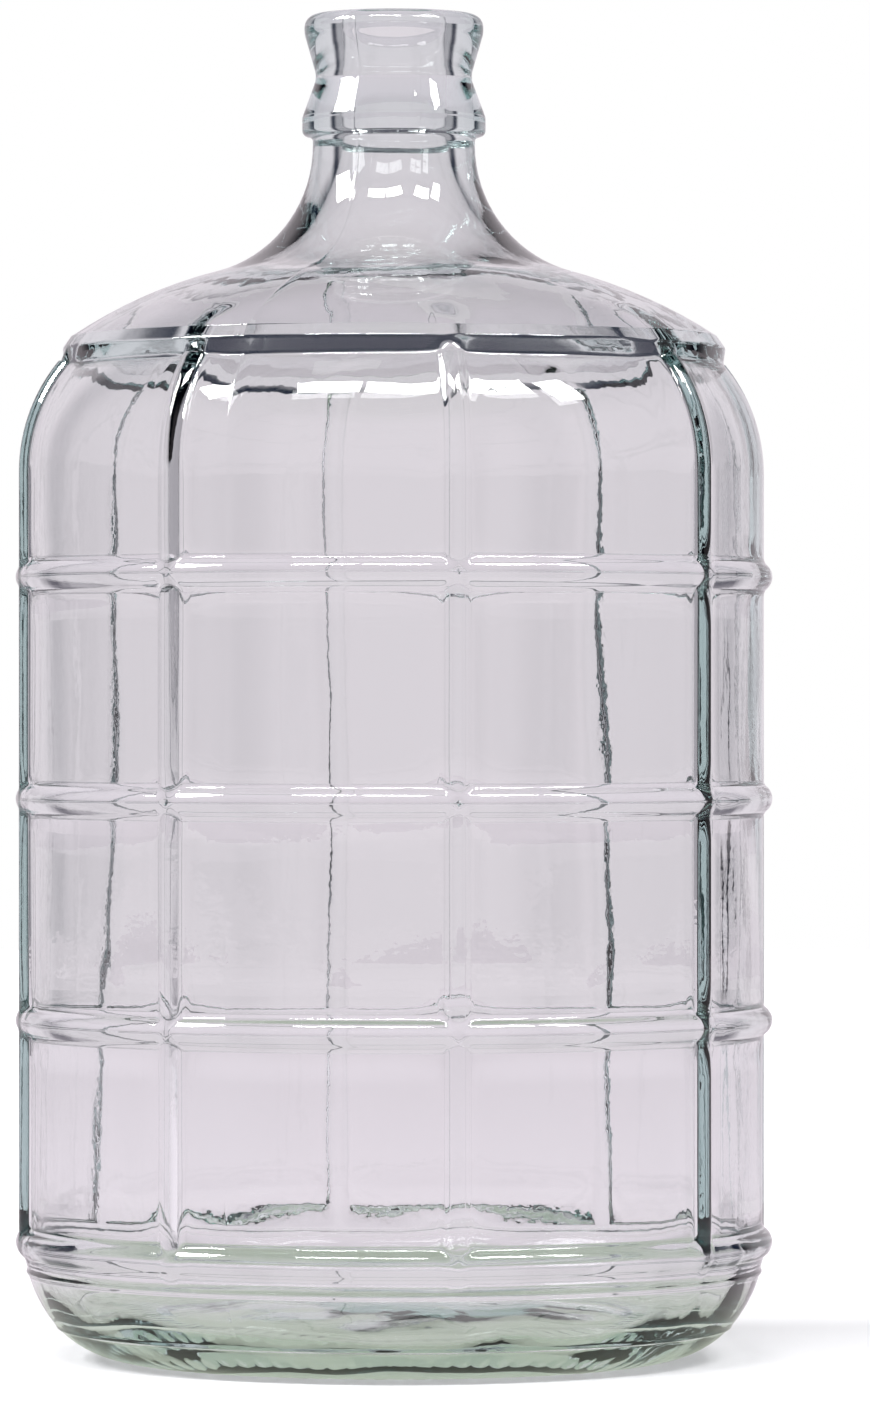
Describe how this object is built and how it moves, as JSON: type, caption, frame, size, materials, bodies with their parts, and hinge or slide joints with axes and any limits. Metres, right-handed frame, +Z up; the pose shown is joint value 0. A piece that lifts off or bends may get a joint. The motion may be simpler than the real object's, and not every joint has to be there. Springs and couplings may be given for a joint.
{
  "type": "glass carboy",
  "caption": "Round clear glass carboy with ribbed and hooped walls, a domed shoulder and a narrow collared neck, for fermenting and storing wine, beer or cider.",
  "frame": {"origin": "centre of the circle that the bearing ring of the base stands on", "axes": "+Z up along the bottle's axis, out of the mouth; X and Y through the middles of opposite panels, midway between ribs"},
  "size_m": [0.236, 0.236, 0.419],
  "materials": {
    "clear_glass": "gloss"
  },
  "bodies": {
    "root": {"glass_body": "clear_glass"}
  },
  "joints": []
}
